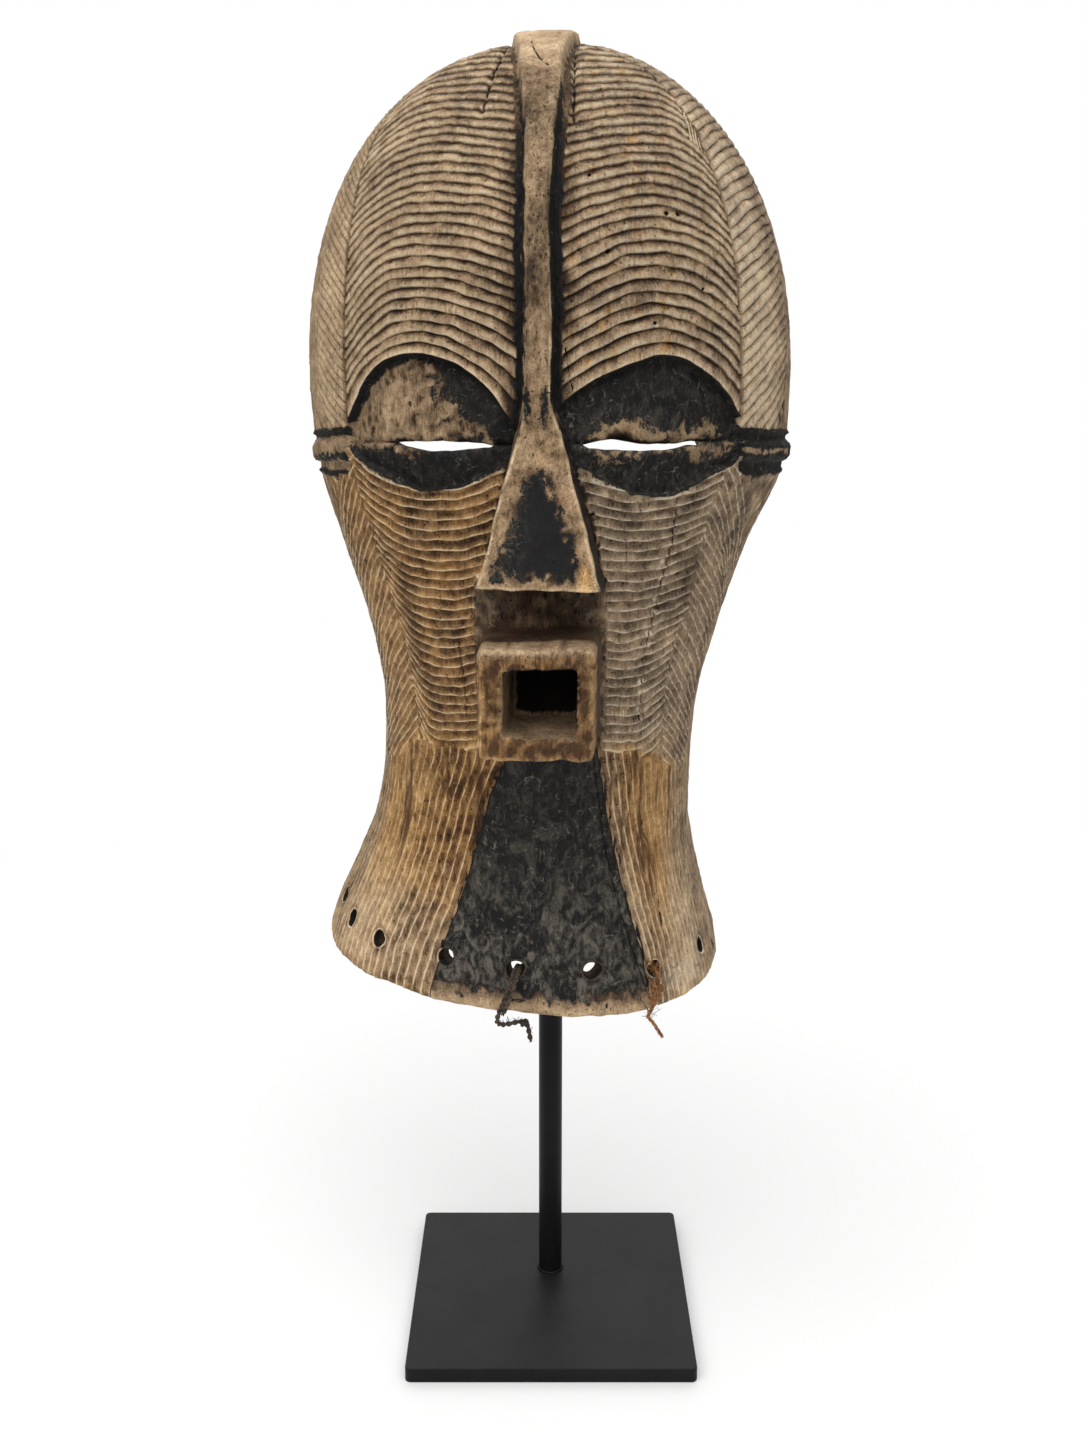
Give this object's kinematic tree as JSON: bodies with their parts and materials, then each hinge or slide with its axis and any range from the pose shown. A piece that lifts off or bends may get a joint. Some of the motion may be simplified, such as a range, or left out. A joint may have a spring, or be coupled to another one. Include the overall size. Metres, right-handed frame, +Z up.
{
  "type": "carved face mask on a stand",
  "caption": "Tall hollow wooden face mask with grooved brow and cheeks, a crest, slit eyes, a long wedge nose and a square mouth, upright on a black steel rod and square foot",
  "frame": {"origin": "centre of the foot plate's underside", "axes": "+Z up, +Y away from the viewer of the face, +X to that viewer's right; the mask is turned 3.5 degrees about the rod, towards the viewer's left"},
  "size_m": [0.2477, 0.2136, 0.6725],
  "materials": {
    "carved_wood": "dry carved wood, tan on the ridges, dark in the grooves, with worn black paint on lids, nose, chin and crest channels",
    "black_plate": "satin black",
    "black_rod": "satin black",
    "black_cradle": "satin black",
    "bark": "dark twisted bark fibre",
    "orange_fibre": "dry orange-brown fibre"
  },
  "bodies": {
    "root": {"mask_crown": "carved_wood", "mask_brow": "carved_wood", "mask_face": "carved_wood", "mask_chin": "carved_wood", "base_plate": "black_plate", "stand_post": "black_rod", "cradle_bar": "black_cradle", "cradle_saddle": "black_cradle", "bark_cord": "bark", "fibre_tie": "orange_fibre"}
  },
  "joints": []
}
